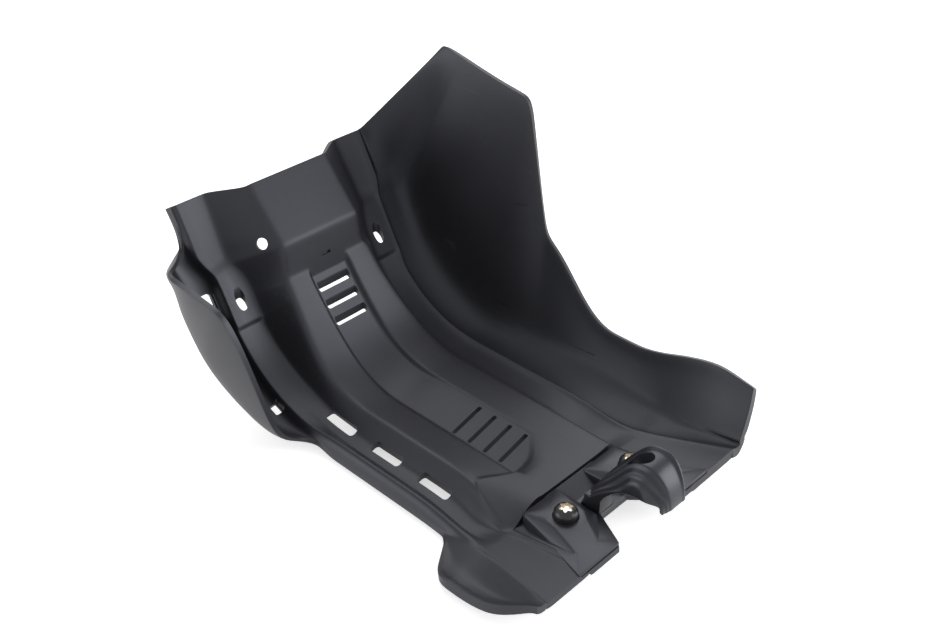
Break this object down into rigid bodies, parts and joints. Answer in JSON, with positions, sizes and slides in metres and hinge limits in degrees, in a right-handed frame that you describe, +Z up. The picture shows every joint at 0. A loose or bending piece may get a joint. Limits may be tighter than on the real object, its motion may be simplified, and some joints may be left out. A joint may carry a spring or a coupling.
{
  "type": "motorcycle skid plate",
  "caption": "Moulded under-engine skid plate with a recessed tub, a tall right wing, a low left pocket wing, sloped front mounting pads and a screwed-on rear hook bracket.",
  "frame": {"origin": "middle of the rear edge, in the plane that the lowest faces stand on", "axes": "+X forward along the bike, +Y to the rider's left, +Z up"},
  "size_m": [0.3819, 0.255, 0.218],
  "materials": {
    "black_plastic": "satin moulded thermoplastic, fine grain",
    "hook_plastic": "smoother satin moulded plastic",
    "black_screw": "black coated steel with a bright six-lobe recess"
  },
  "bodies": {
    "root": {"skid_plate": "black_plastic", "rear_hook": "hook_plastic", "screw_left": "black_screw", "screw_right": "black_screw"}
  },
  "joints": []
}
